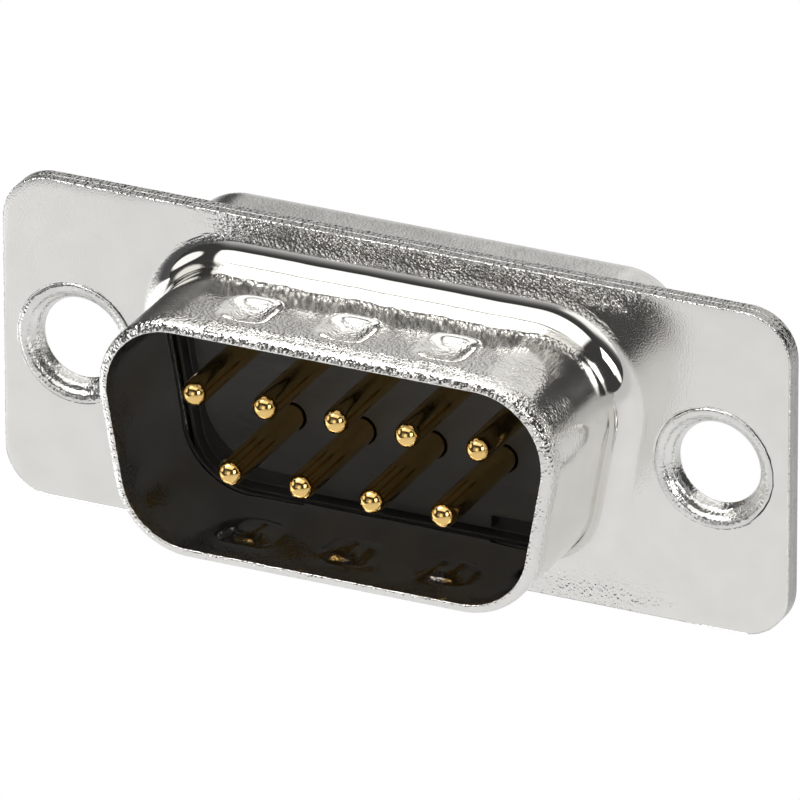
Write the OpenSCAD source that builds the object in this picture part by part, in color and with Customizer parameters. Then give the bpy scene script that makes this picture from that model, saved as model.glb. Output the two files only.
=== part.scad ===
// Nine-way D-shaped plug connector: two drawn sheet shells riveted together
// through their flanges, a front and a rear insulator trapped between them,
// and nine turned contacts with pins in front and solder cups behind.
// Every module is drawn with its mating side up; facing_front() then turns
// it so that -Y is the mating direction and +Z is the five-contact side.
// The origin is the centre of the flange's front face.

/* [Contacts] */
// Distance between neighbouring contacts in a row
pitch = 2.77; // [2.6:0.01:3]
// Distance between the two rows
row_gap = 2.84; // [2.6:0.01:3.2]
// Radius of a contact's pin
pin_r = 0.5; // [0.4:0.01:0.6]
// Radius of the pin's rounded tip
pin_tip_r = 0.45; // [0.3:0.01:0.6]
// Length of the taper between the pin and its tip
pin_taper = 0.5; // [0.2:0.05:1]
// How far the tips stop short of the plug shell's rim
pin_recess = 0.77; // [0.3:0.01:1.5]
// Radius of the thicker shank that carries the pin inside the insulator
shank_r = 0.7; // [0.66:0.01:0.8]
// From the insulator's raised face back to the shank's shoulder
shoulder_setback = 0.15; // [0.1:0.01:0.3]
// Radius of the collar that is trapped between the insulators
collar_r = 1.05; // [0.95:0.01:1.2]
// Thickness of that collar
collar_t = 0.7; // [0.4:0.05:1]
// Outer radius of the solder cup
cup_r = 0.78; // [0.72:0.01:0.85]
// Radius of the solder cup's bore
cup_bore_r = 0.57; // [0.4:0.01:0.62]
// Depth of the solder cup's bore
cup_bore_depth = 3.6; // [3:0.1:4]
// Length of the solder cup that is cut open on its outer side
cup_open = 2; // [1.2:0.1:2.4]
// How far the solder cups reach behind the rear insulator
cup_reach = 4; // [3.8:0.1:6]

/* [Shells] */
// Thickness of the sheet that both shells are drawn from
sheet_t = 0.4; // [0.3:0.05:0.5]
// From the end contact of the long row to the plug shell's inside
end_margin = 2.92; // [2.7:0.01:3.2]
// From either row to the plug shell's inside
row_margin = 2.76; // [2.5:0.01:3]
// Inside corner radius of the plug shell
plug_corner_r = 2.59; // [2:0.01:3]
// Slope of the plug shell's two ends, in degrees
side_slope = 10; // [6:1:14]
// How far the plug shell stands out in front of the flange
plug_depth = 5.92; // [5.5:0.01:7]
// Hollow radius where the plug shell leaves the flange
plug_bend_r = 1; // [0.7:0.05:1.2]
// How much larger the rear shell is than the plug shell's inside, per side
rear_step = 1.18; // [1.1:0.01:1.3]
// Outside corner radius of the rear shell
rear_corner_r = 2.2; // [2:0.05:2.6]
// From the flange's front face to the back of the rear shell
rear_depth = 4.3; // [4:0.05:5]

/* [Flange] */
// From the plug shell's inside to the centre of each mounting hole
hole_margin = 4.035; // [3.9:0.005:4.4]
// From the hole's centre to the flange's end
flange_end = 2.91; // [2.8:0.01:3.4]
// From the plug shell's inside to the flange's long edges
flange_margin = 2.095; // [2:0.005:2.5]
// Corner radius of the flange
flange_corner_r = 1.8; // [1:0.1:2.5]
// Clear radius through each riveted eyelet
hole_r = 1.58; // [1.5:0.01:1.65]
// Wall of the eyelet before it is flared
eyelet_wall = 0.35; // [0.25:0.01:0.4]
// Width by which the eyelet is flared outwards
eyelet_flare = 0.37; // [0.25:0.01:0.45]
// How far the flared lip stands proud of the flange
eyelet_proud = 0.06; // [0.03:0.01:0.1]

/* [Dimples] */
// Distance between neighbouring grounding dimples
dimple_pitch = 3.83; // [3:0.01:4]
// Width of a dimple along the shell
dimple_w = 1.95; // [1.5:0.05:2.4]
// Length of a dimple from front to back
dimple_len = 2; // [1.6:0.05:2.4]
// Depth of a dimple
dimple_depth = 0.32; // [0.2:0.01:0.4]
// From the flange's front face to a dimple's middle
dimple_stand = 3.67; // [3.2:0.01:4]

/* [Insulators] */
// From the flange's front face back to the insulator's raised face
face_setback = 0.4; // [0.3:0.01:0.6]
// Depth of the groove round the raised face
groove_depth = 0.6; // [0.4:0.05:0.9]
// From the plug shell's inside in to the edge of the raised face
face_inset = 0.4; // [0.3:0.01:0.6]
// Corner radius of the raised face
face_corner_r = 2.8; // [2:0.05:3]
// From the plug shell's inside out to the groove's outer wall
groove_outset = 0.43; // [0.3:0.01:0.45]
// Corner radius of the groove's outer wall
groove_corner_r = 2.2; // [2:0.05:3]
// Half width of the tongue that bridges the groove above and below
tongue_half = 3.68; // [2.5:0.01:4]
// How far the tongue reaches out past the plug shell's inside
tongue_reach = 0.11; // [0:0.01:0.2]
// From the flange's front face back to where the two insulators meet
split_setback = 2.3; // [2:0.05:2.6]
// How far the rear insulator stands out behind the rear shell
boss_reach = 1.2; // [1:0.1:3]
// From the plug shell's inside in to the side of that rear boss
boss_inset = 0.2; // [0.1:0.01:0.3]
// Play of the insulators inside the shells
seat_play = 0.06; // [0.03:0.01:0.08]
// Play of the contacts in the insulators' holes
contact_play = 0.05; // [0.02:0.01:0.08]

/* [Hidden] */
$fn = 48;
tiny = 0.01;
hair = 0.001;
lap = 0.1;
over = 1;
LONG_ROW = 5;
SHORT_ROW = 4;

// Outlines, as the plug shell's inside measures
plug_w = (LONG_ROW - 1) * pitch + 2 * end_margin;
plug_h = row_gap + 2 * row_margin;
hole_x = plug_w / 2 + hole_margin;
flange_w = 2 * (hole_x + flange_end);
flange_h = plug_h + 2 * flange_margin;

// Levels along the mating direction, from the flange's front face
flange_back = -2 * sheet_t;
plug_bend_out = plug_bend_r + sheet_t;
face_z = -face_setback;
groove_z = face_z - groove_depth;
rim_z = -sheet_t - seat_play;
split_z = -split_setback;
shoulder_z = face_z - shoulder_setback;
rear_wall_z = sheet_t - rear_depth;
boss_z = -rear_depth - boss_reach;
cup_z = boss_z - cup_reach;
tip_z = plug_depth - pin_recess;

// Outline shared by every D: [width, height, corner radius], and one grown by g
plug_d = [plug_w, plug_h, plug_corner_r];
rear_out_d = [plug_w + 2 * rear_step, plug_h + 2 * rear_step, rear_corner_r];
rear_in_d = grown(rear_out_d, -sheet_t);
body_d = grown(rear_in_d, -seat_play);
boss_d = grown(plug_d, -boss_inset);
window_d = grown(boss_d, seat_play);
face_d = recornered(grown(plug_d, -face_inset), face_corner_r);
groove_d = recornered(grown(plug_d, groove_outset), groove_corner_r);

function grown(d, g) = [d.x + 2 * g, d.y + 2 * g, d.z + g];
function recornered(d, r) = [d.x, d.y, r];

// Corner centres of a D outline and the angle of each corner's arc, clockwise
// from the upper right: [x, y, first angle, sweep]
function d_corners(d) =
    let (y = d.y / 2 - d.z, top = d.x / 2 - d.z, low = top - 2 * y * tan(side_slope))
    [
        [top, y, -side_slope, 90 + side_slope],
        [low, -y, -90, 90 - side_slope],
        [-low, -y, side_slope - 180, 90 - side_slope],
        [-top, y, 90, 90 + side_slope]
    ];
function on_arc(c, r, angle) = [c.x + r * cos(angle), c.y + r * sin(angle)];

// Turns a piece drawn with its mating side up to face the front
module facing_front() rotate([90, 0, 0]) children();

// Filled D outline: four corner discs and the polygon of their tangent points,
// which is drawn a hair inside so that its sides cross the discs
module d_outline(d) {
    corners = d_corners(d);
    for (c = corners) translate([c.x, c.y]) circle(d.z);
    polygon([for (c = corners) each [
        on_arc(c, d.z - hair, c[2] + c[3]), on_arc(c, d.z - hair, c[2])
    ]]);
}

// Carries a section round a D outline: the section's x is the distance
// outside the outline and its y is the height
module along_d(d) {
    corners = d_corners(d);
    union() for (c = corners)
        translate([c.x, c.y]) rotate(c[2])
            rotate_extrude(angle = c[3]) translate([d.z, 0]) children();
    union() for (i = [0:3]) {
        c = corners[i];
        next = corners[(i + 1) % 4];
        translate(on_arc(c, d.z, c[2])) rotate(c[2]) rotate([90, 0, 0])
            linear_extrude(norm([next.x - c.x, next.y - c.y])) children();
    }
}

module slab(low, high) translate([0, 0, low]) linear_extrude(high - low) children();

module at_holes() for (side = [-1, 1]) translate([side * hole_x, 0]) children();

module flange_outline() {
    x = flange_w / 2 - flange_corner_r;
    y = flange_h / 2 - flange_corner_r;
    for (sx = [-x, x], sy = [-y, y]) translate([sx, sy]) circle(flange_corner_r);
    square([flange_w, 2 * y], center = true);
    square([2 * x, flange_h], center = true);
}

// Quarter of a sheet bend between two radii about a corner's centre
module bend_section(centre, outer, inner, quadrant) translate(centre) difference() {
    intersection() {
        circle(outer);
        translate([quadrant.x * outer / 2, quadrant.y * outer / 2])
            square(outer, center = true);
    }
    circle(inner);
}

// Plug shell's section: flat strip, bend, wall and rounded rim
module plug_section() {
    translate([plug_bend_out - tiny, -sheet_t]) square([tiny + 2 * lap, sheet_t]);
    bend_section([plug_bend_out, plug_bend_r], plug_bend_out, plug_bend_r, [-1, -1]);
    translate([0, plug_bend_r]) square([sheet_t, plug_depth - plug_bend_r - sheet_t / 2]);
    translate([sheet_t / 2, plug_depth - sheet_t / 2]) circle(sheet_t / 2);
}

// Dent pressed by a round bar lying along the shell, at height y on its wall
dimple_bar_r = (pow(dimple_len / 2, 2) + pow(dimple_depth, 2)) / (2 * dimple_depth);
module dimple_bars(radius, width)
    for (side = [-1, 1], i = [-1:1])
        translate([i * dimple_pitch - width / 2,
                side * (plug_h / 2 + sheet_t + dimple_bar_r - dimple_depth), dimple_stand])
            rotate([0, 90, 0]) cylinder(r = radius, h = width);

module dimple_bulges() intersection() {
    dimple_bars(dimple_bar_r + sheet_t, dimple_w + sheet_t);
    slab(plug_bend_r, plug_depth - sheet_t)
        square([plug_w, plug_h + sheet_t], center = true);
}

// Hole in the front flange, coned to take the flared eyelet
module eyelet_seat() rotate_extrude() {
    r = hole_r + eyelet_wall + seat_play / 2;
    polygon([[0, -sheet_t - over], [r, -sheet_t - over], [r, -sheet_t],
        [r + eyelet_flare, 0], [r + eyelet_flare, over], [0, over]]);
}

module front_shell() color([0.80, 0.79, 0.76]) facing_front() {
    difference() {
        union() {
            slab(-sheet_t, 0) difference() {
                flange_outline();
                d_outline(grown(plug_d, plug_bend_out + lap));
            }
            along_d(plug_d) plug_section();
            dimple_bulges();
        }
        dimple_bars(dimple_bar_r, dimple_w);
        at_holes() eyelet_seat();
    }
}

// Collar drawn up from the rear flange and flared over the front one
module eyelet() rotate_extrude() {
    r = hole_r + eyelet_wall;
    lip = eyelet_wall * 0.4;
    polygon([[hole_r, flange_back], [hole_r, -sheet_t - eyelet_proud],
        [hole_r + lip, -sheet_t + eyelet_proud], [r + eyelet_flare - lip, eyelet_proud],
        [r + eyelet_flare - lip / 2, eyelet_proud], [r + eyelet_flare, 0],
        [r, -sheet_t], [r, flange_back]]);
}

module rear_shell() color([0.72, 0.72, 0.70]) facing_front() {
    slab(flange_back, -sheet_t) difference() {
        flange_outline();
        d_outline(rear_in_d);
        at_holes() circle(hole_r + eyelet_wall / 2);
    }
    slab(-rear_depth, -sheet_t) difference() {
        d_outline(rear_out_d);
        d_outline(rear_in_d);
    }
    slab(-rear_depth, rear_wall_z) difference() {
        d_outline(rear_out_d);
        d_outline(window_d);
    }
    at_holes() eyelet();
}

// Places of the contacts, five above and four below, each row from left to right
function contact_xy(n) = n <= LONG_ROW
    ? [(n - (LONG_ROW + 1) / 2) * pitch, row_gap / 2]
    : [(n - LONG_ROW - (SHORT_ROW + 1) / 2) * pitch, -row_gap / 2];

module at_contacts()
    for (n = [1:LONG_ROW + SHORT_ROW]) translate(contact_xy(n)) children();

// Pocket for the contacts' collars, half of it in each insulator
module collar_pockets() at_contacts()
    slab(split_z - collar_t / 2, split_z + collar_t / 2) circle(collar_r + contact_play);

module front_insulator() color([0.13, 0.13, 0.14]) facing_front() difference() {
    union() {
        slab(split_z, groove_z) d_outline(body_d);
        slab(groove_z, rim_z) difference() {
            d_outline(body_d);
            d_outline(groove_d);
        }
        slab(groove_z, face_z) {
            d_outline(face_d);
            square([2 * tongue_half, plug_h + 2 * tongue_reach], center = true);
        }
    }
    collar_pockets();
    at_contacts() {
        slab(split_z, over) circle(pin_r + contact_play);
        slab(split_z, shoulder_z + contact_play) circle(shank_r + contact_play);
    }
}

module rear_insulator() color([0.11, 0.11, 0.12]) facing_front() difference() {
    union() {
        slab(rear_wall_z, split_z) d_outline(body_d);
        slab(boss_z, rear_wall_z) d_outline(boss_d);
    }
    collar_pockets();
    at_contacts() slab(boss_z - over, split_z) circle(cup_r + contact_play);
}

// Turned contact: rounded pin, shank, collar and solder cup
module contact_blank() rotate_extrude() {
    slope_z = tip_z - pin_tip_r - pin_taper;
    translate([0, split_z]) square([pin_r, slope_z - split_z]);
    polygon([[0, slope_z], [pin_r, slope_z], [pin_tip_r, slope_z + pin_taper],
        [0, slope_z + pin_taper]]);
    translate([0, tip_z - pin_tip_r]) intersection() {
        circle(pin_tip_r);
        square(pin_tip_r);
    }
    translate([0, split_z]) square([shank_r, shoulder_z - split_z]);
    translate([0, split_z - collar_t / 2]) square([collar_r, collar_t]);
    translate([0, cup_z]) square([cup_r, split_z - cup_z]);
}

// side is 1 for a cup open upwards and -1 for one open downwards
module contact(n) color([0.86, 0.68, 0.30]) facing_front() {
    side = n <= LONG_ROW ? 1 : -1;
    translate(contact_xy(n)) difference() {
        contact_blank();
        slab(cup_z - over, cup_z + cup_bore_depth) circle(cup_bore_r);
        translate([-over, side > 0 ? 0 : -cup_r - over, cup_z - over])
            cube([2 * over, cup_r + over, cup_open + over]);
        translate([-over, side * cup_r, cup_z + cup_open])
            rotate([0, 90, 0]) cylinder(r = cup_r, h = 2 * over);
    }
}

front_shell();
rear_shell();
front_insulator();
rear_insulator();
contact(1);  // contact_1
contact(2);  // contact_2
contact(3);  // contact_3
contact(4);  // contact_4
contact(5);  // contact_5
contact(6);  // contact_6
contact(7);  // contact_7
contact(8);  // contact_8
contact(9);  // contact_9
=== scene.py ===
import bmesh
import bpy
import numpy as np
from mathutils import Matrix, Vector


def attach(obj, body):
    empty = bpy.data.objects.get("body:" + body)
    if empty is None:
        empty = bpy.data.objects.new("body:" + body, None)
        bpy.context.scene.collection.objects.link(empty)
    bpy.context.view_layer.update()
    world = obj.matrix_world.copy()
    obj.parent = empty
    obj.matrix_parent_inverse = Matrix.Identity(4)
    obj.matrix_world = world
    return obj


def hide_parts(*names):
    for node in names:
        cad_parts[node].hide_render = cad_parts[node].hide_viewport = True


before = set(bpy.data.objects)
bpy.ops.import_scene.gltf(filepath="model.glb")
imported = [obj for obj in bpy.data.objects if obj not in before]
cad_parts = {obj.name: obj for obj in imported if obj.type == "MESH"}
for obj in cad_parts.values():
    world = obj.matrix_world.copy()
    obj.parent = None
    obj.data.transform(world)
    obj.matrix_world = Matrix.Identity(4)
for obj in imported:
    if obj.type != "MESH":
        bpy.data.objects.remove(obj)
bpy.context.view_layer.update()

# ---------------------------------------------------------------------------
# Front shell. A D-shaped plug shell drawn from plated steel sheet together
# with its flange: the wall leaves the flange in a hollow bend, ends in a
# rounded rim, and has three dimples pressed into its top and its bottom.
# ---------------------------------------------------------------------------
SHEET = 0.4
PLUG_D = (16.92, 8.36, 2.59)
END_SLOPE = np.radians(10)
PLUG_OUT = 5.92
PLUG_BEND = 1.0
RIM_R, RIM_INSIDE, RIM_STEPS = 0.36, 0.04, 14
FLANGE_HALF = (15.405, 6.275)
FLANGE_CORNER = 1.8
FRONT_BREAK, HIDDEN_BREAK = 0.05, 0.015
SPLIT_FRONT = 10.01
HOLE_X = 12.495
SEAT_FRONT, SEAT_BACK = 2.33, 1.96
DIMPLE_MIDDLES = (-3.83, 0.0, 3.83)
DIMPLE_HALF, DIMPLE_REACH, DIMPLE_DEPTH, DIMPLE_AT = 0.94, 1.0, 0.32, 3.67
DIMPLE_CUTS = (-0.75, -0.64, -0.54, -0.44, -0.35, -0.26, -0.18, -0.10, -0.03, 0.04, 0.11, 0.28)


def in_row(x, forward, z):
    """A maker's millimetres, right, forward and up, become the row's metres."""
    return np.stack(np.broadcast_arrays(x, -np.asarray(forward, float), z), -1) * 0.001


def smooth(value, low, high):
    """Rises from 0 at low to 1 at high with level ends."""
    t = np.clip((value - low) / (high - low), 0, 1)
    return t * t * (3 - 2 * t)


def d_loop(width, height, corner, cuts, arc=24, side=14):
    """Closed D outline, anticlockwise from the lower right corner: each corner
    is an arc about its centre and each side joins two arcs' tangent points.
    Returns the points, their outward normals and each corner's middle index."""
    rise, top = height / 2 - corner, width / 2 - corner
    low = top - 2 * rise * np.tan(END_SLOPE)
    centres = np.array([(low, -rise), (top, rise), (-top, rise), (-low, -rise)])
    turns = np.array([-np.pi / 2, -END_SLOPE, np.pi / 2, np.pi + END_SLOPE, 1.5 * np.pi])
    points, normals, middles, count = [], [], [], 0
    for i in range(4):
        angle = np.linspace(turns[i], turns[i + 1], arc + 1)
        normal = np.stack([np.cos(angle), np.sin(angle)], 1)
        points.append(centres[i] + corner * normal)
        share = np.linspace(0, 1, side + 1)[1:-1]
        if i == 1:
            share = np.sort(np.append(share, (top - cuts) / (2 * top)))
        if i == 3:
            share = np.sort(np.append(share, (cuts + low) / (2 * low)))
        start, end = points[-1][-1], centres[(i + 1) % 4] + corner * normal[-1]
        points.append(start + share[:, None] * (end - start))
        normals += [normal, np.repeat(normal[-1:], len(share), 0)]
        middles.append(count + arc // 2)
        count += arc + 1 + len(share)
    return np.concatenate(points), np.concatenate(normals), middles


def along_loop(loop, section):
    """Carries a section round a loop: each section point is the loop moved out
    along its normals by the first number, at the second number forward."""
    points, normals = loop[:2]
    rows = points[None] + normals[None] * section[:, 0][:, None, None]
    return in_row(rows[..., 0], section[:, 1][:, None], rows[..., 1])


def turned(centre, radius, first, last, steps):
    """Points of a circular arc between two angles in degrees."""
    angle = np.radians(np.linspace(first, last, steps))
    return np.stack([centre[0] + radius * np.cos(angle), centre[1] + radius * np.sin(angle)], 1)


def straight(start, end, steps):
    """Evenly spaced points of a straight line between two points."""
    return np.linspace(start, end, steps)


def flange_rim(split, inset, side, arc=14, run=14):
    """The flange's right (side 1) or left (side -1) end outside x = split, from
    its lower to its upper edge: a straight line, a corner arc, a straight end,
    a corner arc and a line."""
    x, z, corner = FLANGE_HALF[0] - inset, FLANGE_HALF[1] - inset, FLANGE_CORNER - inset
    cx, cz = x - corner, z - corner
    points = np.concatenate([
        straight((split, -z), (cx, -z), run)[:-1],
        turned((cx, -cz), corner, -90, 0, arc),
        straight((x, -cz), (x, cz), run)[1:-1],
        turned((cx, cz), corner, 0, 90, arc),
        straight((cx, z), (split, z), run)[1:]])
    return points * np.array([side, 1.0])


def flange_face(loop, ring, level, split, hole, inset):
    """One flat face of a flange, in three patches that share their edges: the
    middle runs from the drawn D out to a rectangle, and each end from its
    round hole out to the flange's edge. Rows are straight blends."""
    points, normals, middles = loop
    count, high = len(points), FLANGE_HALF[1] - inset
    inner = points + normals * ring
    outer = np.zeros_like(inner)
    corners = [(split, -high), (split, high), (-split, high), (-split, -high)]
    for i in range(4):
        first, last = middles[i], middles[(i + 1) % 4] + (count if i == 3 else 0)
        line = straight(corners[i], corners[(i + 1) % 4], last - first + 1)
        outer[np.arange(first, last + 1) % count] = line
    border = 0.05
    near = inner + normals * border
    shares = (0.1, 0.25, 0.4, 0.55, 0.7, 0.85, 1.0)
    rows = np.stack([inner, near] + [near + (outer - near) * share for share in shares])
    patches = [in_row(rows[..., 0], level, rows[..., 1])]
    holes = []
    for side in (1, -1):
        edge = flange_rim(split, inset, side)
        ends = (side * split, high), (side * split, -high)
        joint = straight(*ends, middles[1] - middles[0] + 1)[1:-1]
        rim = np.concatenate([edge, joint])
        centre = np.array([side * HOLE_X, 0])
        way = (rim - centre) / np.linalg.norm(rim - centre, axis=1)[:, None]
        ring_in, ring_near = centre + way * hole, centre + way * (hole + border)
        shares = (0.2, 0.4, 0.55, 0.7, 0.8, 0.9, 1.0)
        rows = np.stack([ring_in, ring_near] + [ring_near + (rim - ring_near) * share for share in shares])
        patches.append(in_row(rows[..., 0], level, rows[..., 1]))
        holes.append((centre, way))
    return patches, holes


def flange_edge(loop, split, section):
    """The flange's edge: a section carried round the whole flange outline, with
    its first number measured out from the outline moved in by that amount."""
    middles = loop[2]
    across = middles[2] - middles[1] + 1
    rows = []
    for inset in -section[:, 0]:
        right, left = flange_rim(split, inset, 1), flange_rim(split, inset, -1)
        high = FLANGE_HALF[1] - inset
        top = straight((split, high), (-split, high), across)[1:-1]
        low = straight((-split, -high), (split, -high), across)[1:-1]
        rows.append(np.concatenate([right, top, left[::-1], low]))
    rows = np.stack(rows)
    return in_row(rows[..., 0], section[:, 1][:, None], rows[..., 1])


def round_hole(hole, section):
    """A round wall about a hole: radius and level of each row come from the
    section, and its columns follow the flange face's own directions."""
    centre, way = hole
    rows = centre + way[None] * section[:, 0][:, None, None]
    return in_row(rows[..., 0], section[:, 1][:, None], rows[..., 1])


def closed_piece(name, patches, marks=()):
    """Joins grids of points, each closed along its second direction, into one
    mesh, welds them where they meet and turns all faces outwards. Marks are
    pairs of an attribute's name and its value on each patch."""
    points, faces, first = [], [], 0
    for patch in patches:
        rows, cols = patch.shape[:2]
        i, j = np.meshgrid(np.arange(rows - 1), np.arange(cols), indexing="ij")
        n = (j + 1) % cols
        quad = np.stack([i * cols + j, i * cols + n, (i + 1) * cols + n, (i + 1) * cols + j], -1)
        faces.append(quad.reshape(-1, 4) + first)
        points.append(patch.reshape(-1, 3))
        first += rows * cols
    mesh = bpy.data.meshes.new(name)
    mesh.from_pydata(np.concatenate(points), [], np.concatenate(faces))
    for label, values in marks:
        spread = [np.broadcast_to(value, patch.shape[:2]).ravel() for value, patch in zip(values, patches)]
        mark = mesh.attributes.new(label, "FLOAT", "POINT")
        mark.data.foreach_set("value", np.concatenate(spread).astype(np.float32))
    work = bmesh.new()
    work.from_mesh(mesh)
    bmesh.ops.remove_doubles(work, verts=work.verts, dist=2e-7)
    bmesh.ops.dissolve_degenerate(work, edges=work.edges, dist=1e-8)
    bmesh.ops.recalc_face_normals(work, faces=work.faces)
    work.to_mesh(mesh)
    work.free()
    mesh.polygons.foreach_set("use_smooth", np.ones(len(mesh.polygons), bool))
    piece = bpy.data.objects.new(name, mesh)
    bpy.context.scene.collection.objects.link(piece)
    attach(piece, "root")
    return piece


def dimple_depth(x, forward, spread):
    """Depth pressed at a point of the wall: a bar's arc from back to front, with
    steep ends to its left and right, softened by spread."""
    depth = np.zeros(np.broadcast(x, forward).shape)
    for middle in DIMPLE_MIDDLES:
        across = np.abs(x - middle)
        reach = DIMPLE_REACH * (1 - 0.2 * (across / DIMPLE_HALF) ** 4) + 0.5 * spread
        arc = 1 - ((forward - DIMPLE_AT) / reach) ** 2
        ends = 1 - smooth(across, DIMPLE_HALF - 0.72, DIMPLE_HALF + 0.12 + spread)
        depth += DIMPLE_DEPTH * smooth(arc, -0.15, 1.05) * ends
    return depth


def plated(name, colour, mottle, rough_flat, fine_grain):
    """Bright plate over steel. Its peel attribute brings coarse, sparkling
    orange peel, its gloss attribute the mirror of a drawn bend, and its cut
    attribute the darker metal of a sheared edge."""
    finish = bpy.data.materials.new(name)
    finish.use_nodes = True
    nodes, links = finish.node_tree.nodes, finish.node_tree.links
    shader = nodes["Principled BSDF"]
    shader.inputs["Metallic"].default_value = 1
    place = nodes.new("ShaderNodeTexCoord")

    def noise(scale, detail):
        """Fractal noise over the piece's own coordinates, in metres."""
        node = nodes.new("ShaderNodeTexNoise")
        node.inputs["Scale"].default_value = scale
        node.inputs["Detail"].default_value = detail
        links.new(place.outputs["Object"], node.inputs["Vector"])
        return node.outputs["Fac"]

    def attribute(label):
        """A number stored at each point of the piece."""
        node = nodes.new("ShaderNodeAttribute")
        node.attribute_name = label
        return node.outputs["Fac"]

    def mapped(value, low, high, out_low, out_high):
        """A straight line from low, out_low to high, out_high, level outside it."""
        node = nodes.new("ShaderNodeMapRange")
        numbers = {"From Min": low, "From Max": high, "To Min": out_low, "To Max": out_high}
        for socket, number in numbers.items():
            node.inputs[socket].default_value = number
        links.new(value, node.inputs["Value"])
        return node.outputs["Result"]

    def combined(operation, a, b):
        """One arithmetic step on two links."""
        node = nodes.new("ShaderNodeMath")
        node.operation = operation
        links.new(a, node.inputs[0])
        links.new(b, node.inputs[1])
        return node.outputs[0]

    peel, gloss = attribute("peel"), attribute("gloss")
    tint = nodes.new("ShaderNodeMix")
    tint.data_type = "RGBA"
    tint.inputs["A"].default_value = (*[c * mottle for c in colour], 1)
    tint.inputs["B"].default_value = (*colour, 1)
    links.new(mapped(noise(800, 5), 0.3, 0.65, 0, 1), tint.inputs["Factor"])
    sheared = nodes.new("ShaderNodeMix")
    sheared.data_type = "RGBA"
    sheared.inputs["B"].default_value = (*[c * 0.5 for c in colour], 1)
    links.new(attribute("cut"), sheared.inputs["Factor"])
    links.new(tint.outputs["Result"], sheared.inputs["A"])
    links.new(sheared.outputs["Result"], shader.inputs["Base Color"])
    matt = mapped(peel, 0, 0.7, rough_flat, 0.12)
    links.new(combined("MULTIPLY", matt, mapped(gloss, 0, 1, 1, 0.4)), shader.inputs["Roughness"])
    patchy = combined("MULTIPLY", peel, mapped(noise(1300, 2), 0.35, 0.65, 0.7, 1.2))
    cells = nodes.new("ShaderNodeTexVoronoi")
    cells.inputs["Scale"].default_value = 8000
    links.new(place.outputs["Object"], cells.inputs["Vector"])
    sparkle = combined("ADD", cells.outputs["Distance"], mapped(noise(5000, 2), 0.2, 0.8, 0, 0.7))
    sparkle = combined("MULTIPLY", sparkle, patchy)
    grain = combined("MULTIPLY", noise(14000, 2), mapped(gloss, 0, 1, fine_grain, 0.0))
    bump = nodes.new("ShaderNodeBump")
    bump.inputs["Strength"].default_value = 1
    bump.inputs["Distance"].default_value = 0.00005
    links.new(combined("ADD", sparkle, grain), bump.inputs["Height"])
    links.new(bump.outputs["Normal"], shader.inputs["Normal"])
    return finish


def flange_peel(patch):
    """Orange peel of a flange's face: strong on the narrow strip above the drawn
    shell, weaker and longer below it, fading out towards the flat ends."""
    x, z = patch[..., 0] * 1000, patch[..., 2] * 1000
    above = 0.45 * smooth(z, 4.9, 5.7) * (1 - smooth(x, 7.8, 10.6))
    below = 0.36 * smooth(-z, 4.6, 5.8) * (1 - smooth(x, 9.5, 13.0))
    return (above + below) * smooth(x, -8.8, -5.0)


def plug_profile():
    """Outer line of the plug shell from the flange to the rim: distance outside
    the D, level forward and slope of each point."""
    slope = np.linspace(np.pi / 2, 0, 26)
    bend = np.stack([SHEET + PLUG_BEND * (1 - np.cos(slope)), PLUG_BEND * (1 - np.sin(slope)), slope], 1)
    level = np.concatenate([
        np.linspace(PLUG_BEND, 2.5, 8)[1:], np.linspace(2.5, 4.85, 24)[1:],
        np.linspace(4.9, PLUG_OUT - RIM_R, 6)[:-1]])
    wall = np.stack([np.full_like(level, SHEET), level, np.zeros_like(level)], 1)
    return np.concatenate([bend, wall])


dimple_cuts = np.array([middle + side * (DIMPLE_HALF + cut)
                        for middle in DIMPLE_MIDDLES for side in (-1, 1) for cut in DIMPLE_CUTS])
plug_loop = d_loop(*PLUG_D, dimple_cuts)
bend_out = PLUG_BEND + SHEET
outside = plug_profile()
slope = outside[::-1, 2]
inside = outside[::-1, :2] - SHEET * np.stack([np.cos(slope), np.sin(slope)], 1)
plug_section = np.concatenate([
    outside[:, :2], turned((SHEET - RIM_R, PLUG_OUT - RIM_R), RIM_R, 0, 90, RIM_STEPS),
    turned((RIM_INSIDE, PLUG_OUT - RIM_INSIDE), RIM_INSIDE, 90, 180, 5), inside])
plug_wall = along_loop(plug_loop, plug_section)
level = plug_section[:, 1][:, None]
across = plug_loop[0][:, 0][None]
upright = (np.abs(plug_loop[1][:, 1]) > 0.9999)[None]
bulge = (np.arange(len(plug_section)) >= len(outside) + RIM_STEPS)[:, None]
BULGE_SPREAD = 0.22
pressed = np.where(bulge, dimple_depth(across, level, BULGE_SPREAD), dimple_depth(across, level, 0.0))
pressed = pressed * upright * ((level > PLUG_BEND) & (level < PLUG_OUT - SHEET))
# Hundredths of a millimetre of drawing ripple along the two long bends
ripple = (0.007 * np.sin(1.9 * across + 0.4) + 0.004 * np.sin(4.3 * across + 2.0)
          + 0.0015 * np.sin(9.1 * across + 1.0))
pressed = pressed + ripple * upright * smooth(level, 0.05, 0.6) * (1 - smooth(level, 1.5, 4.5))
plug_wall[..., 2] -= 0.001 * pressed * np.sign(plug_loop[1][:, 1])[None]
front_faces, front_holes = flange_face(plug_loop, bend_out, 0.0, SPLIT_FRONT, SEAT_FRONT, FRONT_BREAK)
hidden_faces, hidden_holes = flange_face(plug_loop, bend_out, -SHEET, SPLIT_FRONT, SEAT_BACK, HIDDEN_BREAK)
front_edge = np.concatenate([
    turned((-FRONT_BREAK, -FRONT_BREAK), FRONT_BREAK, 90, 0, 8),
    straight((0, -FRONT_BREAK - 0.03), (0, -SHEET + HIDDEN_BREAK), 3),
    turned((-HIDDEN_BREAK, -SHEET + HIDDEN_BREAK), HIDDEN_BREAK, 0, -90, 4)[1:]])
seat_walls = []
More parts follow.
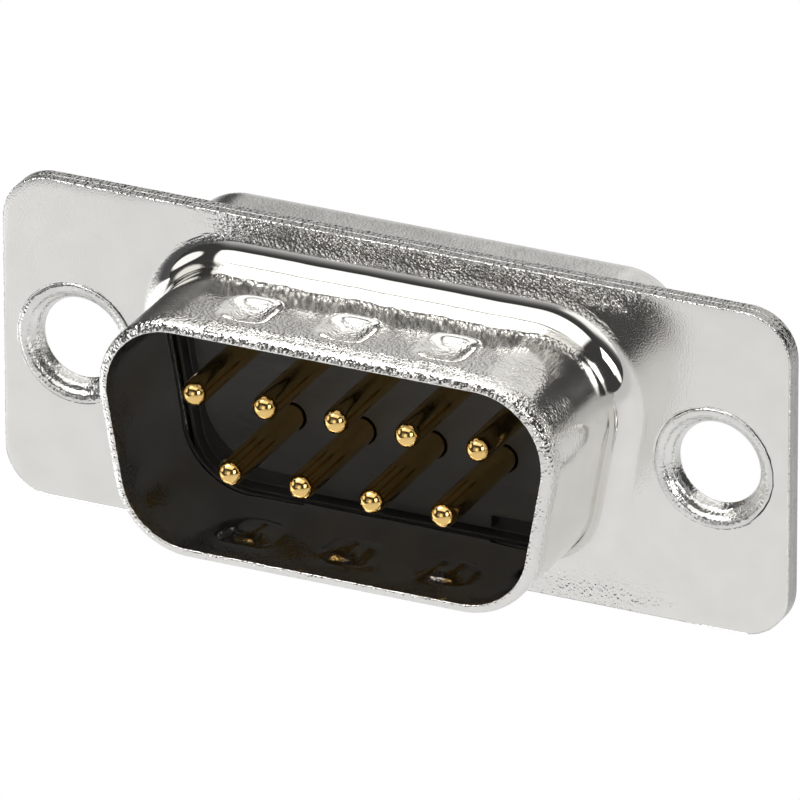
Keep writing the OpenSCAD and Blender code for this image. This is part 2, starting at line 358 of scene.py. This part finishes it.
for k in range(2):
    top = round_hole(front_holes[k], np.array([(SEAT_FRONT, 0.0), (SEAT_FRONT - 0.03, -0.02)]))
    base = round_hole(hidden_holes[k], np.array([(SEAT_BACK, -SHEET)]))
    seat_walls.append(np.concatenate([top, base]))
edge_wall = flange_edge(plug_loop, SPLIT_FRONT, front_edge)
patches = [plug_wall] + front_faces + hidden_faces + [edge_wall] + seat_walls
# The peel is coarse near the rim, at the foot of the long bends and in the right
# half of each dimple; the bend between is a mirror, duller towards the rim
long_side = smooth(np.abs(plug_loop[1][:, 1]), 0.6, 0.98)[None]
foot = (1 - smooth(level, 0.01, 0.06)) * long_side * smooth(across, -8.6, -5.5)
wall_peel = 0.10 * smooth(level, 2.6, 3.8) + 0.5 * smooth(level, 4.8, 5.5) + 0.5 * foot
wall_gloss = smooth(level, 0.02, 0.09) * (1 - 0.35 * smooth(level, 1.0, 2.0) - 0.35 * smooth(level, 3.0, 4.8))
dimple_gap = DIMPLE_MIDDLES[2] - DIMPLE_MIDDLES[1]
from_middle = (across + dimple_gap / 2) % dimple_gap - dimple_gap / 2
wall_peel = wall_peel + (0.2 + 0.6 * smooth(from_middle, 0.0, 0.5)) * smooth(pressed, 0.06, 0.2) * ~bulge
wall_gloss = wall_gloss * (1 - 0.9 * smooth(pressed, 0.03, 0.15) * ~bulge)
edge_peel = np.array([0.0] + [1.1] * 7 + [0.45] * 5 + [0.0])[:, None]
edge_cut = np.array([0.0] * 8 + [1.0] * 3 + [0.6, 0.3, 0.0])[:, None]
peel = [wall_peel] + [flange_peel(patch) for patch in front_faces] + [0.0] * 3 + [edge_peel] + [0.3] * 2
gloss = [wall_gloss] + [0.0] * 9
cut = [0.0] * 7 + [edge_cut] + [0.0] * 2
front_shell = closed_piece("plug_shell", patches, (("peel", peel), ("gloss", gloss), ("cut", cut)))
front_plate = plated("front plate", (0.81, 0.80, 0.775), 0.95, 0.12, 0.09)
front_shell.data.materials.append(front_plate)
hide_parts("front_shell")

# ---------------------------------------------------------------------------
# Rear shell. The second drawn sheet: its flange lies flat against the front
# one, its tray holds the insulators and turns in round the rear boss, and two
# collars drawn up from its flange are flared over the front flange as rivets.
# ---------------------------------------------------------------------------
REAR_D = (18.48, 9.92, 1.8)
REAR_BEND, REAR_EDGE, REAR_BACK, REAR_TURN_IN = 0.5, 0.8, -4.3, 0.92
EYELET_BORE, EYELET_WALL, EYELET_MOUTH = 1.58, 0.35, 1.72
REAR_BREAK, TURN_BREAK = 0.06, 0.06
SPLIT_REAR = 10.36

rear_loop = d_loop(*REAR_D, np.array([]), side=24)
rear_out = REAR_BEND + SHEET
bend_level, edge_level = -SHEET - rear_out, REAR_BACK + REAR_EDGE
edge_in = SHEET - REAR_EDGE
rear_section = np.concatenate([
    turned((rear_out, bend_level), rear_out, 90, 180, 10),
    straight((0, bend_level - 0.1), (0, edge_level + 0.1), 6),
    turned((edge_in, edge_level), REAR_EDGE - SHEET, 0, -90, 8),
    straight((edge_in - 0.05, REAR_BACK + SHEET), (TURN_BREAK - REAR_TURN_IN, REAR_BACK + SHEET), 4),
    turned((TURN_BREAK - REAR_TURN_IN, REAR_BACK + SHEET - TURN_BREAK), TURN_BREAK, 90, 180, 4)[1:],
    turned((TURN_BREAK - REAR_TURN_IN, REAR_BACK + TURN_BREAK), TURN_BREAK, 180, 270, 4),
    straight((2 * TURN_BREAK - REAR_TURN_IN, REAR_BACK), (edge_in - 0.05, REAR_BACK), 4),
    turned((edge_in, edge_level), REAR_EDGE, -90, 0, 12),
    straight((SHEET, edge_level + 0.1), (SHEET, bend_level - 0.1), 8),
    turned((rear_out, bend_level), REAR_BEND, 180, 90, 10)])
collar = EYELET_BORE + EYELET_WALL
rear_front, collar_roots = flange_face(rear_loop, rear_out, -SHEET, SPLIT_REAR, collar, HIDDEN_BREAK)
rear_rear, collar_mouths = flange_face(rear_loop, rear_out, -2 * SHEET, SPLIT_REAR, EYELET_MOUTH, REAR_BREAK)
rear_edge = np.concatenate([
    turned((-HIDDEN_BREAK, -SHEET - HIDDEN_BREAK), HIDDEN_BREAK, 90, 0, 4),
    straight((0, -SHEET - 0.04), (0, -2 * SHEET + 0.1), 3),
    turned((-REAR_BREAK, -2 * SHEET + REAR_BREAK), REAR_BREAK, 0, -90, 6)])
# Each rivet's profile as radius and level: up the seat, over the flared lip and
# down the collar's bore. Its lip is a little ragged, as a flare tears.
rivet_profile = np.array([
    (1.93, -0.4), (1.945, -0.37), (2.10, -0.20), (2.25, -0.05), (2.29, 0.0), (2.30, 0.03),
    (2.27, 0.052), (2.20, 0.055), (2.11, 0.045), (2.04, 0.02), (1.98, -0.03), (1.94, -0.09),
    (1.89, -0.135), (1.82, -0.17), (1.75, -0.225), (1.69, -0.30), (1.65, -0.39), (1.62, -0.48),
    (1.595, -0.56), (EYELET_BORE, -0.63), (1.60, -0.70), (1.65, -0.765)])
RAGGED_WAVES = ((2, 0.02), (5, 0.012), (9, 0.008), (17, 0.006))
rivets = []
ragged = np.random.default_rng(9)
for k in range(2):
    centre, way = collar_roots[k]
    around = np.arctan2(way[:, 1], way[:, 0])
    wave = sum(size * np.sin(waves * around + ragged.uniform(0, 6.3)) for waves, size in RAGGED_WAVES)
    lip = smooth(rivet_profile[:, 0], 1.95, 2.25)[:, None]
    radius = rivet_profile[:, 0][:, None] + wave[None] * lip
    rows = centre + way[None] * radius[..., None]
    wall = in_row(rows[..., 0], rivet_profile[:, 1][:, None], rows[..., 1])
    mouth = round_hole(collar_mouths[k], np.array([(EYELET_MOUTH, -2 * SHEET)]))
    rivets.append(np.concatenate([wall, mouth]))
rear_wall = along_loop(rear_loop, rear_section)
edge_wall = flange_edge(rear_loop, SPLIT_REAR, rear_edge)
patches = [rear_wall] + rear_front + rear_rear + [edge_wall] + rivets
edge_peel = np.array([0.0] + [0.6] * 11 + [0.0])[:, None]
edge_cut = np.array([0.0, 0.3, 0.6] + [1.0] * 4 + [0.6, 0.3] + [0.0] * 4)[:, None]
peel = [0.06] + [0.0] * 6 + [edge_peel] + [0.25] * 2
cut = [0.0] * 7 + [edge_cut] + [0.0] * 2
marks = (("peel", peel), ("gloss", [0.0] * 10), ("cut", cut))
rear_shell = closed_piece("rear_shell_and_rivets", patches, marks)
rear_plate = plated("rear plate", (0.80, 0.795, 0.775), 0.82, 0.22, 0.12)
rear_shell.data.materials.append(rear_plate)
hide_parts("rear_shell")

# ---------------------------------------------------------------------------
# Insulators. Two black moulded halves meet on the contacts' collars; the
# front one shows its raised face inside a groove, the rear one its boss.
# Moulded edges are a little round.
# ---------------------------------------------------------------------------


def moulded_copy(node, name, radius):
    """A merged copy of a solid with its edges rounded."""
    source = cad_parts[node]
    mesh = source.data.copy()
    mesh.name = name
    mesh.materials.clear()
    work = bmesh.new()
    work.from_mesh(mesh)
    bmesh.ops.remove_doubles(work, verts=work.verts, dist=1e-7)
    bmesh.ops.dissolve_limit(work, angle_limit=np.radians(0.5), verts=work.verts, edges=work.edges)
    work.to_mesh(mesh)
    work.free()
    piece = bpy.data.objects.new(name, mesh)
    bpy.context.scene.collection.objects.link(piece)
    bevel = piece.modifiers.new("edges", "BEVEL")
    bevel.width = radius
    bevel.segments = 2
    bevel.limit_method = "ANGLE"
    bevel.angle_limit = np.radians(35)
    bevel.harden_normals = False
    mesh.polygons.foreach_set("use_smooth", np.zeros(len(mesh.polygons), bool))
    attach(piece, "root")
    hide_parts(node)
    return piece


def moulded_black(name, colour):
    """Black glass-filled plastic: satin, with a fine grain and faint scuffs."""
    finish = bpy.data.materials.new(name)
    finish.use_nodes = True
    nodes, links = finish.node_tree.nodes, finish.node_tree.links
    shader = nodes["Principled BSDF"]
    shader.inputs["Specular IOR Level"].default_value = 0.5
    place = nodes.new("ShaderNodeTexCoord")
    grain = nodes.new("ShaderNodeTexNoise")
    grain.inputs["Scale"].default_value = 5200
    grain.inputs["Detail"].default_value = 3
    links.new(place.outputs["Object"], grain.inputs["Vector"])
    stretch = nodes.new("ShaderNodeMapping")
    stretch.inputs["Rotation"].default_value = (0, 0.6, 0)
    stretch.inputs["Scale"].default_value = (0.12, 1, 1)
    links.new(place.outputs["Object"], stretch.inputs["Vector"])
    scuff = nodes.new("ShaderNodeTexNoise")
    scuff.inputs["Scale"].default_value = 9000
    scuff.inputs["Detail"].default_value = 2
    links.new(stretch.outputs["Vector"], scuff.inputs["Vector"])
    ramp = nodes.new("ShaderNodeMapRange")
    for socket, number in {"From Min": 0.35, "From Max": 0.7, "To Min": 0.34, "To Max": 0.55}.items():
        ramp.inputs[socket].default_value = number
    links.new(scuff.outputs["Fac"], ramp.inputs["Value"])
    links.new(ramp.outputs["Result"], shader.inputs["Roughness"])
    tint = nodes.new("ShaderNodeMix")
    tint.data_type = "RGBA"
    tint.inputs["A"].default_value = (*colour, 1)
    tint.inputs["B"].default_value = (*[c * 1.5 for c in colour], 1)
    links.new(scuff.outputs["Fac"], tint.inputs["Factor"])
    links.new(tint.outputs["Result"], shader.inputs["Base Color"])
    bump = nodes.new("ShaderNodeBump")
    bump.inputs["Strength"].default_value = 0.35
    bump.inputs["Distance"].default_value = 0.00002
    links.new(grain.outputs["Fac"], bump.inputs["Height"])
    links.new(bump.outputs["Normal"], shader.inputs["Normal"])
    return finish


insulator_black = moulded_black("moulded black", (0.036, 0.036, 0.035))
MOULDED_ROUNDING = 0.00004
for node, name in (("front_insulator", "front_moulding"), ("rear_insulator", "rear_moulding")):
    moulding = moulded_copy(node, name, MOULDED_ROUNDING)
    moulding.data.materials.append(insulator_black)

# ---------------------------------------------------------------------------
# Contacts. Turned brass, gold-plated and polished: a pin with a round tip in
# front, a collar trapped between the insulators, and behind a solder cup
# whose outer side is milled open for the wire.
# ---------------------------------------------------------------------------
PITCH, ROW_GAP = 2.77, 2.84
TIP, TIP_R, PIN_R, PIN_TAPER = 5.15, 0.49, 0.5, 0.2
COLLAR_R, COLLAR_AT, COLLAR_T = 1.05, -2.3, 0.7
CUP_R, CUP_BORE, CUP_BACK, CUP_DEEP, CUP_OPEN = 0.78, 0.57, -9.5, 3.6, 2.0
STRETCH_FROM, EDGE_BREAK = -6.1, 0.03


def contact_surface(x, z, side):
    """One turned contact: radius and level down its profile, swept round. In the
    cup the levels stretch to the rim, which steps back on the open side."""
    step_sides = [89.6, 90.4, 269.6, 270.4]
    around = np.radians(np.sort(np.concatenate([np.linspace(0, 360, 40, endpoint=False), step_sides])))
    up = np.cos(around)
    notch = CUP_R ** 2 - (CUP_R - 0.5 * (CUP_R + CUP_BORE) * np.clip(up, 0, 1)) ** 2
    rim = np.where(up > 0.002, CUP_BACK + CUP_OPEN + np.sqrt(np.clip(notch, 0, None)), CUP_BACK)
    tip_at, shank = TIP - TIP_R, COLLAR_AT - COLLAR_T / 2
    turned_part = np.concatenate([
        turned((0, tip_at), TIP_R, 90, 0, 12),
        straight((PIN_R, tip_at - PIN_TAPER), (PIN_R, COLLAR_AT + COLLAR_T / 2 + 0.02), 6),
        [(PIN_R + 0.02, COLLAR_AT + COLLAR_T / 2), (COLLAR_R - EDGE_BREAK, COLLAR_AT + COLLAR_T / 2),
         (COLLAR_R, COLLAR_AT + COLLAR_T / 2 - EDGE_BREAK), (COLLAR_R, shank + EDGE_BREAK),
         (COLLAR_R - EDGE_BREAK, shank), (CUP_R + 0.02, shank), (CUP_R, shank - 0.02), (CUP_R, -5.2),
         (CUP_R, STRETCH_FROM)]])
    radius = [np.full(len(around), r) for r in turned_part[:, 0]]
    level = [np.full(len(around), f) for f in turned_part[:, 1]]
    for share in (0.35, 0.7, 0.9):
        radius.append(np.full(len(around), CUP_R))
        level.append(STRETCH_FROM + share * (rim - STRETCH_FROM))
    for r, back in ((CUP_R, EDGE_BREAK), (CUP_R - EDGE_BREAK, 0.0),
                    (CUP_BORE + EDGE_BREAK, 0.0), (CUP_BORE, EDGE_BREAK)):
        radius.append(np.full(len(around), r))
        level.append(rim + back)
    floor = CUP_BACK + CUP_DEEP
    for share in (0.7, 0.35, 0.0):
        radius.append(np.full(len(around), CUP_BORE))
        level.append(floor + share * (rim + EDGE_BREAK - floor))
    radius.append(np.full(len(around), CUP_BORE * 0.5))
    level.append(np.full(len(around), floor + 0.1))
    radius.append(np.zeros(len(around)))
    level.append(np.full(len(around), floor + 0.18))
    radius, level = np.stack(radius), np.stack(level)
    return in_row(x + radius * np.sin(around), level, z + side * radius * up)


def gold_plate():
    """Gold plate on turned brass: warm, bright, with faint turning rings."""
    finish = bpy.data.materials.new("gold plate")
    finish.use_nodes = True
    nodes, links = finish.node_tree.nodes, finish.node_tree.links
    shader = nodes["Principled BSDF"]
    shader.inputs["Metallic"].default_value = 1
    place = nodes.new("ShaderNodeTexCoord")
    rings = nodes.new("ShaderNodeMapping")
    rings.inputs["Scale"].default_value = (0.02, 1, 0.02)
    links.new(place.outputs["Object"], rings.inputs["Vector"])
    noise = nodes.new("ShaderNodeTexNoise")
    noise.inputs["Scale"].default_value = 14000
    noise.inputs["Detail"].default_value = 2
    links.new(rings.outputs["Vector"], noise.inputs["Vector"])
    tint = nodes.new("ShaderNodeMix")
    tint.data_type = "RGBA"
    tint.inputs["A"].default_value = (0.78, 0.50, 0.16, 1)
    tint.inputs["B"].default_value = (0.92, 0.66, 0.27, 1)
    links.new(noise.outputs["Fac"], tint.inputs["Factor"])
    links.new(tint.outputs["Result"], shader.inputs["Base Color"])
    rough = nodes.new("ShaderNodeMapRange")
    rough.inputs["To Min"].default_value = 0.05
    rough.inputs["To Max"].default_value = 0.14
    links.new(noise.outputs["Fac"], rough.inputs["Value"])
    links.new(rough.outputs["Result"], shader.inputs["Roughness"])
    bump = nodes.new("ShaderNodeBump")
    bump.inputs["Strength"].default_value = 0.06
    bump.inputs["Distance"].default_value = 0.00001
    links.new(noise.outputs["Fac"], bump.inputs["Height"])
    links.new(bump.outputs["Normal"], shader.inputs["Normal"])
    return finish


gold = gold_plate()
for number in range(1, 10):
    upper = number <= 5
    x = (number - 3) * PITCH if upper else (number - 7.5) * PITCH
    z = ROW_GAP / 2 if upper else -ROW_GAP / 2
    contact = closed_piece(f"turned_contact_{number}", [contact_surface(x, z, 1 if upper else -1)])
    contact.data.materials.append(gold)
    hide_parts(f"contact_{number}")

# ---------------------------------------------------------------------------
# Studio. A white sweep far under the connector, a pale surround that the
# metal mirrors, two soft lamps and a long lens.
# ---------------------------------------------------------------------------
world = bpy.context.scene.world or bpy.data.worlds.new("studio")
bpy.context.scene.world = world
world.use_nodes = True
tree = world.node_tree
tree.nodes.clear()
direction = tree.nodes.new("ShaderNodeTexCoord")


def world_math(operation, a, b):
    """One arithmetic step on links or plain numbers, in the links' own tree."""
    nodes = (b if isinstance(a, (int, float)) else a).id_data.nodes
    node = nodes.new("ShaderNodeMath")
    node.operation = operation
    for slot, value in enumerate((a, b)):
        if isinstance(value, (int, float)):
            node.inputs[slot].default_value = value
        else:
            node.id_data.links.new(value, node.inputs[slot])
    return node.outputs[0]


def rising(value, edge, soft, amount=1.0):
    """Goes from 0 to amount as the value passes the edge, over soft each side."""
    ramp = value.id_data.nodes.new("ShaderNodeMapRange")
    ramp.interpolation_type = "SMOOTHSTEP"
    ramp.inputs["From Min"].default_value = edge - soft
    ramp.inputs["From Max"].default_value = edge + soft
    ramp.inputs["To Min"].default_value = 0
    ramp.inputs["To Max"].default_value = amount
    value.id_data.links.new(value, ramp.inputs["Value"])
    return ramp.outputs["Result"]


def falling(value, edge, soft):
    """Goes from 1 to 0 as the value passes the edge."""
    return world_math("SUBTRACT", 1, rising(value, edge, soft))


def product(first, *others):
    """Product of any number of links or numbers."""
    for other in others:
        first = world_math("MULTIPLY", first, other)
    return first


light_path = tree.nodes.new("ShaderNodeLightPath")
parts = tree.nodes.new("ShaderNodeSeparateXYZ")
tree.links.new(direction.outputs["Generated"], parts.inputs[0])
way_x, way_y, way_z = parts.outputs
above = world_math("MAXIMUM", way_z, 0.02)
behind = world_math("MAXIMUM", way_y, 0.02)
over_x, over_y = world_math("DIVIDE", way_x, above), world_math("DIVIDE", way_y, above)
back_x, back_z = world_math("DIVIDE", way_x, behind), world_math("DIVIDE", way_z, behind)
# Overhead box, in two panels with a dark joint between them
overhead = product(rising(over_x, -1.07, 0.06), falling(over_x, 0.65, 0.06), rising(over_y, -0.95, 0.04),
                   falling(over_y, 1.27, 0.09), rising(way_z, 0.15, 0.05))
joint = product(rising(over_y, 0.33, 0.015), falling(over_y, 0.43, 0.015))
overhead = product(overhead, world_math("SUBTRACT", 1, joint), 1.3)
# Grey card behind, and pale paper in front with a brighter spot
card = product(rising(back_x, -0.48, 0.14), falling(back_x, 0.42, 0.06), falling(back_z, 0.72, 0.06),
               rising(way_y, 0.1, 0.08), 0.85)
paper_front = product(falling(way_y, -0.05, 0.2), falling(way_z, 0.34, 0.25), falling(way_x, 0.2, 0.25),
                      rising(way_x, -0.52, 0.08), 0.5)
front_spot = product(falling(way_y, -0.5, 0.2), falling(way_z, 0.40, 0.06), rising(way_x, -0.2, 0.06),
                     falling(way_x, 0.2, 0.1), 0.8)


def round_box(towards, degrees, amount):
    """A round light seen in one direction, with the given radius."""
    cosine = tree.nodes.new("ShaderNodeVectorMath")
    cosine.operation = "DOT_PRODUCT"
    tree.links.new(direction.outputs["Generated"], cosine.inputs[0])
    cosine.inputs[1].default_value = Vector(towards).normalized()
    edge = float(np.cos(np.radians(degrees)))
    return rising(cosine.outputs["Value"], edge, 0.25 * (1 - edge), amount)


right_box, left_box = round_box((0.76, -0.67, 0.16), 9, 1.2), round_box((-0.88, -0.36, 0.22), 13, 1.2)
DIM_ROOM = 0.05
surround = overhead
for share in (card, paper_front, front_spot, right_box, left_box, DIM_ROOM):
    surround = world_math("ADD", surround, share)
mirror_world = tree.nodes.new("ShaderNodeBackground")
mirror_world.inputs["Color"].default_value = (1, 0.99, 0.97, 1)
tree.links.new(surround, mirror_world.inputs["Strength"])
soft_world = tree.nodes.new("ShaderNodeBackground")
soft_world.inputs["Color"].default_value = (1, 1, 1, 1)
soft_world.inputs["Strength"].default_value = 0.75
white_world = tree.nodes.new("ShaderNodeBackground")
white_world.inputs["Color"].default_value = (1, 1, 1, 1)
white_world.inputs["Strength"].default_value = 1
seen = tree.nodes.new("ShaderNodeMixShader")
tree.links.new(light_path.outputs["Is Glossy Ray"], seen.inputs[0])
tree.links.new(soft_world.outputs[0], seen.inputs[1])
tree.links.new(mirror_world.outputs[0], seen.inputs[2])
view = tree.nodes.new("ShaderNodeMixShader")
straight_on = world_math("MAXIMUM", light_path.outputs["Is Camera Ray"], light_path.outputs["Is Transmission Ray"])
tree.links.new(straight_on, view.inputs[0])
tree.links.new(seen.outputs[0], view.inputs[1])
tree.links.new(white_world.outputs[0], view.inputs[2])
result = tree.nodes.new("ShaderNodeOutputWorld")
tree.links.new(view.outputs[0], result.inputs["Surface"])


def soft_lamp(name, place, size, power):
    """A square soft lamp that points at the connector."""
    data = bpy.data.lights.new(name, "AREA")
    data.shape = "SQUARE"
    data.size = size
    data.energy = power
    lamp = bpy.data.objects.new(name, data)
    lamp.location = place
    lamp.rotation_euler = (-Vector(place)).to_track_quat("-Z", "Y").to_euler()
    bpy.context.scene.collection.objects.link(lamp)
    return lamp


soft_lamp("key lamp", (-0.10, -0.05, 0.22), 0.12, 0.28)
soft_lamp("fill lamp", (0.20, -0.16, 0.10), 0.10, 0.10)

AZIMUTH, ELEVATION, ROLL = np.radians(24.9), np.radians(25.2), np.radians(-0.1)
LENS, SENSOR, FRAME_WIDTH, PER_MM = 800.0, 36.0, 800, 28.1
AIM_RIGHT, AIM_UP = 7.2, 5.5
right = np.array([np.cos(AZIMUTH), np.sin(AZIMUTH), 0])
back = np.array([np.sin(AZIMUTH) * np.cos(ELEVATION), -np.cos(AZIMUTH) * np.cos(ELEVATION), np.sin(ELEVATION)])
up = np.cross(back, right)
roll = np.array([[np.cos(ROLL), -np.sin(ROLL)], [np.sin(ROLL), np.cos(ROLL)]])
right, up = roll[0, 0] * right + roll[1, 0] * up, roll[0, 1] * right + roll[1, 1] * up
distance = LENS / SENSOR * FRAME_WIDTH / PER_MM * 0.001
aim = (AIM_RIGHT * right + AIM_UP * up) / PER_MM * 0.001
camera_data = bpy.data.cameras.new("long lens")
camera_data.lens = LENS
camera_data.sensor_width = SENSOR
camera_data.clip_start = 0.01
camera_data.clip_end = 10
camera = bpy.data.objects.new("long lens", camera_data)
axes = Matrix(np.column_stack([right, up, back]).tolist()).to_4x4()
camera.matrix_world = Matrix.Translation(Vector(aim + back * distance)) @ axes
bpy.context.scene.collection.objects.link(camera)
bpy.context.scene.camera = camera

FLOOR_HALF, FLOOR_Z = 3, -0.06
corners = [(x * FLOOR_HALF, y * FLOOR_HALF, FLOOR_Z) for x, y in ((-1, -1), (1, -1), (1, 1), (-1, 1))]
floor_mesh = bpy.data.meshes.new("white sweep")
floor_mesh.from_pydata(corners, [], [(0, 1, 2, 3)])
floor = bpy.data.objects.new("white_sweep", floor_mesh)
bpy.context.scene.collection.objects.link(floor)
paper = bpy.data.materials.new("white paper")
paper.use_nodes = True
nodes, links = paper.node_tree.nodes, paper.node_tree.links
matt = nodes["Principled BSDF"]
matt.inputs["Roughness"].default_value = 0.9
spread = nodes.new("ShaderNodeTexCoord")
parts = nodes.new("ShaderNodeSeparateXYZ")
links.new(spread.outputs["Object"], parts.inputs[0])
floor_x, floor_y, _ = parts.outputs
# A painted dark patch and a painted glowing one on the floor, out at the left: painted reflections for the bends
# to mirror
# Painted shade: the paper's base colour turns near black in a patch at the far left, seen only mirrored in the
# metal
painted_dark_patch = product(falling(floor_y, -0.13, 0.02), falling(floor_x, -0.105, 0.01))
dark = nodes.new("ShaderNodeMix")
dark.data_type = "RGBA"
dark.inputs["A"].default_value = (0.8, 0.8, 0.8, 1)
dark.inputs["B"].default_value = (0.06, 0.06, 0.065, 1)
links.new(painted_dark_patch, dark.inputs["Factor"])
links.new(dark.outputs["Result"], matt.inputs["Base Color"])
# Painted glow: the paper emits light in a patch at the near left, mirrored as a bright reflection in the bends
painted_glow_patch = product(falling(floor_x, -0.09, 0.02), rising(floor_y, -0.13, 0.03),
                    falling(floor_y, 0.05, 0.02), 0.9)
matt.inputs["Emission Color"].default_value = (1, 1, 1, 1)
links.new(painted_glow_patch, matt.inputs["Emission Strength"])
glow = nodes.new("ShaderNodeEmission")
path = nodes.new("ShaderNodeLightPath")
mix = nodes.new("ShaderNodeMixShader")
either = nodes.new("ShaderNodeMath")
either.operation = "MAXIMUM"
links.new(path.outputs["Is Camera Ray"], either.inputs[0])
links.new(path.outputs["Is Transmission Ray"], either.inputs[1])
links.new(either.outputs[0], mix.inputs[0])
links.new(matt.outputs[0], mix.inputs[1])
links.new(glow.outputs[0], mix.inputs[2])
links.new(mix.outputs[0], nodes["Material Output"].inputs["Surface"])
floor.data.materials.append(paper)

bpy.context.scene.view_settings.view_transform = "Standard"
